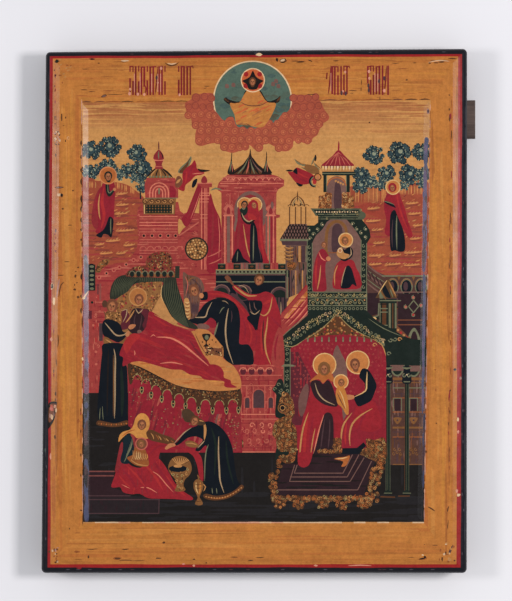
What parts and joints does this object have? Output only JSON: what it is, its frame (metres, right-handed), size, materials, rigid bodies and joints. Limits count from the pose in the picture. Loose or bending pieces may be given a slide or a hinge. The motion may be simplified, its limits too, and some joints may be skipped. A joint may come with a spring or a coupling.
{
  "type": "icon panel",
  "caption": "Painted wooden icon panel with a sunken picture field, rounded edge and dovetail slats behind, lying on its back.",
  "frame": {"origin": "on the plane the slats rest on, under the middle of the whole object", "axes": "+Z out of the painted front, +Y towards the top of the picture, +X to the picture's right"},
  "size_m": [0.2968, 0.3574, 0.032],
  "materials": {
    "painted_board": "egg tempera on a white ground with ochre margins, under an aged golden varnish",
    "slat_wood": "bare, aged and dark"
  },
  "bodies": {
    "root": {"board": "painted_board", "upper_slat": "slat_wood", "lower_slat": "slat_wood"}
  },
  "joints": []
}
